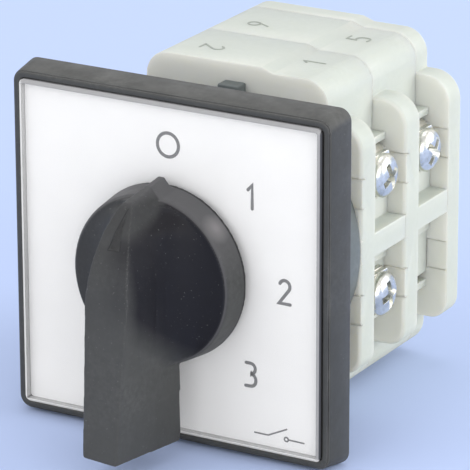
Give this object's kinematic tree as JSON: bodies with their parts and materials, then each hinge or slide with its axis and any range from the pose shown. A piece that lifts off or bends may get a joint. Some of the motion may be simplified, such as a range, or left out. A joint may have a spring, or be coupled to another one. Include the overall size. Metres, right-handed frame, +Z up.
{
  "type": "rotary cam switch",
  "caption": "Panel-mounted rotary cam switch: square front plate with a dial, long turning grip, and stacked contact stages with screw terminals at the sides.",
  "frame": {"origin": "on the shaft axis, in the plane of the panel's front face, where the front plate's back rim and gasket seat", "axes": "+Z up towards the dial's zero, +X to the right seen from the front, +Y back through the panel; the shaft and the stack of stages lie along Y"},
  "size_m": [0.064, 0.0843, 0.064],
  "materials": {
    "handle_plastic": "moulded black thermoplastic, fine matt grain",
    "pointer_plastic": "black insert, slightly smoother than the grip",
    "bezel_plastic": "matt black-grey moulding",
    "clear_plastic": "clear moulded cover",
    "label_white": "white printed dial plate",
    "gasket_rubber": "black sealing rubber",
    "detent_plastic": "grey moulded thermoset",
    "stage_plastic": "off-white moulded thermoplastic",
    "inner_plastic": "natural nylon",
    "zinc_steel": "blue zinc plated steel",
    "plain_steel": "plain steel",
    "spring_steel": "bright spring steel",
    "contact_brass": "silvered brass"
  },
  "bodies": {
    "base": {"bezel": "bezel_plastic", "clear_cover": "clear_plastic", "label_plate": "label_white", "panel_gasket": "gasket_rubber", "fixing_screws": "zinc_steel", "detent_housing": "detent_plastic", "detent_leaf_right": "spring_steel", "detent_leaf_left": "spring_steel", "stage_housing_1": "stage_plastic", "stage_housing_2": "stage_plastic", "rear_cover": "stage_plastic", "tie_screws": "zinc_steel", "terminal_screws": "zinc_steel", "clamp_washers": "zinc_steel", "contact_spring_1_upper": "spring_steel", "terminal_strip_1_upper_right": "contact_brass", "terminal_strip_1_upper_left": "contact_brass", "contact_spring_1_lower": "spring_steel", "terminal_strip_1_lower_right": "contact_brass", "terminal_strip_1_lower_left": "contact_brass", "contact_spring_2_upper": "spring_steel", "terminal_strip_2_upper_right": "contact_brass", "terminal_strip_2_upper_left": "contact_brass"},
    "rotor": {"handle": "handle_plastic", "pointer_insert": "pointer_plastic", "handle_set_screw": "plain_steel", "shaft_seal": "gasket_rubber", "switch_shaft": "plain_steel", "front_bush": "inner_plastic", "stop_disc": "plain_steel", "star_wheel": "inner_plastic", "cam_1": "inner_plastic", "cam_2": "inner_plastic"},
    "contact_1_upper": {"plunger_1_upper": "inner_plastic", "contact_bridge_1_upper": "contact_brass"},
    "contact_1_lower": {"plunger_1_lower": "inner_plastic", "contact_bridge_1_lower": "contact_brass"},
    "contact_2_upper": {"plunger_2_upper": "inner_plastic", "contact_bridge_2_upper": "contact_brass"}
  },
  "joints": [
    {"name": "handle_turn", "type": "hinge", "parent": "base", "child": "rotor", "pos_m": [0, 0, 0], "axis": [0, 1, 0], "range_deg": [0, 135], "deforming": ["detent_leaf_right", "detent_leaf_left"]},
    {"name": "contact_travel_1_upper", "type": "slide", "parent": "base", "child": "contact_1_upper", "axis": [0, 0, -1], "range_m": [0, 0.002], "deforming": ["contact_spring_1_upper"]},
    {"name": "contact_travel_1_lower", "type": "slide", "parent": "base", "child": "contact_1_lower", "axis": [0, 0, 1], "range_m": [0, 0.002], "deforming": ["contact_spring_1_lower"]},
    {"name": "contact_travel_2_upper", "type": "slide", "parent": "base", "child": "contact_2_upper", "axis": [0, 0, -1], "range_m": [0, 0.002], "deforming": ["contact_spring_2_upper"]}
  ],
  "couplings": [
    {"joint": "contact_travel_1_upper", "follows": "handle_turn", "m_per_rad": 0.00084882},
    {"joint": "contact_travel_1_lower", "follows": "handle_turn", "m_per_rad": 0.00084882},
    {"joint": "contact_travel_2_upper", "follows": "handle_turn", "m_per_rad": 0.00084882}
  ]
}
